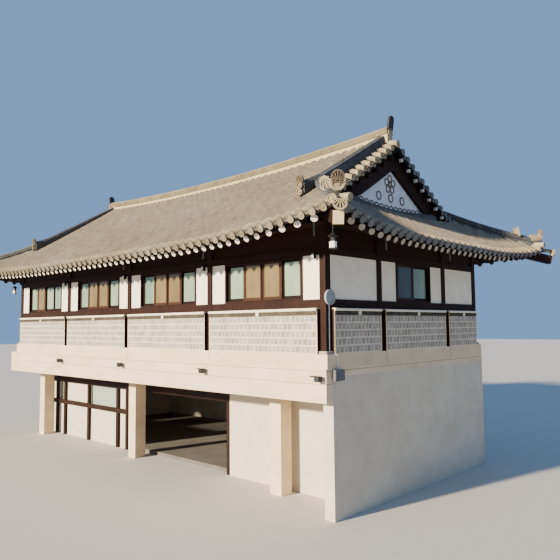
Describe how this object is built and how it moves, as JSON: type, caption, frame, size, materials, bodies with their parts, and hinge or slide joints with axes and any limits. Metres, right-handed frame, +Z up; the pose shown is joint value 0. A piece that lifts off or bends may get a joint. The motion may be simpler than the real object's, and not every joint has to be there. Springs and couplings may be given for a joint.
{
  "type": "hanok house over a shop storey",
  "caption": "Korean timber-framed house with a curved hip-and-gable tiled roof, plaster walls and stone base, on a concrete deck over a recessed shop storey.",
  "frame": {"origin": "middle of the house in plan, at ground level", "axes": "+X along the long front to the right as seen from outside it, +Y from the front to the back, +Z up"},
  "size_m": [20.8612, 11.8372, 10.8198],
  "materials": {
    "concrete": "cast concrete with a pale coat, matte",
    "painted_render": "painted cement render, matte",
    "stained_timber": "dark brown stained pine, satin",
    "window_glass": "pale green window glass",
    "sandstone": "rough sandstone blocks in pale mortar",
    "gable_plaster": "lime plaster, matte",
    "white_plaster": "lime plaster, matte",
    "clay_tile": "unglazed grey clay tile, matte"
  },
  "bodies": {
    "root": {"deck": "concrete", "lower_left_wall": "painted_render", "lower_right_wall": "painted_render", "lower_back_wall": "painted_render", "lower_front_wall": "painted_render", "lower_floor": "painted_render", "shop_frame": "stained_timber", "shop_panels": "white_plaster", "shop_glass": "window_glass", "front_stone_wall": "sandstone", "front_frame": "stained_timber", "front_plaster": "white_plaster", "front_glass": "window_glass", "front_window_1": "stained_timber", "front_window_2": "stained_timber", "front_window_3": "stained_timber", "front_window_4": "stained_timber", "right_stone_wall": "sandstone", "right_frame": "stained_timber", "right_plaster": "white_plaster", "right_glass": "window_glass", "right_window": "stained_timber", "back_stone_wall": "sandstone", "back_frame": "stained_timber", "back_plaster": "white_plaster", "back_glass": "window_glass", "back_window_1": "stained_timber", "back_window_2": "stained_timber", "back_window_3": "stained_timber", "back_window_4": "stained_timber", "left_stone_wall": "sandstone", "left_frame": "stained_timber", "left_plaster": "white_plaster", "left_glass": "window_glass", "left_window": "stained_timber", "front_roof_slope": "clay_tile", "front_rafters": "stained_timber", "right_roof_slope": "clay_tile", "right_rafters": "stained_timber", "back_roof_slope": "clay_tile", "back_rafters": "stained_timber", "left_roof_slope": "clay_tile", "left_rafters": "stained_timber", "right_gable_wall": "gable_plaster", "right_bargeboards": "stained_timber", "left_gable_wall": "gable_plaster", "left_bargeboards": "stained_timber", "main_ridge": "clay_tile", "front_right_ridges": "clay_tile", "front_left_ridges": "clay_tile", "back_right_ridges": "clay_tile", "back_left_ridges": "clay_tile"}
  },
  "joints": []
}
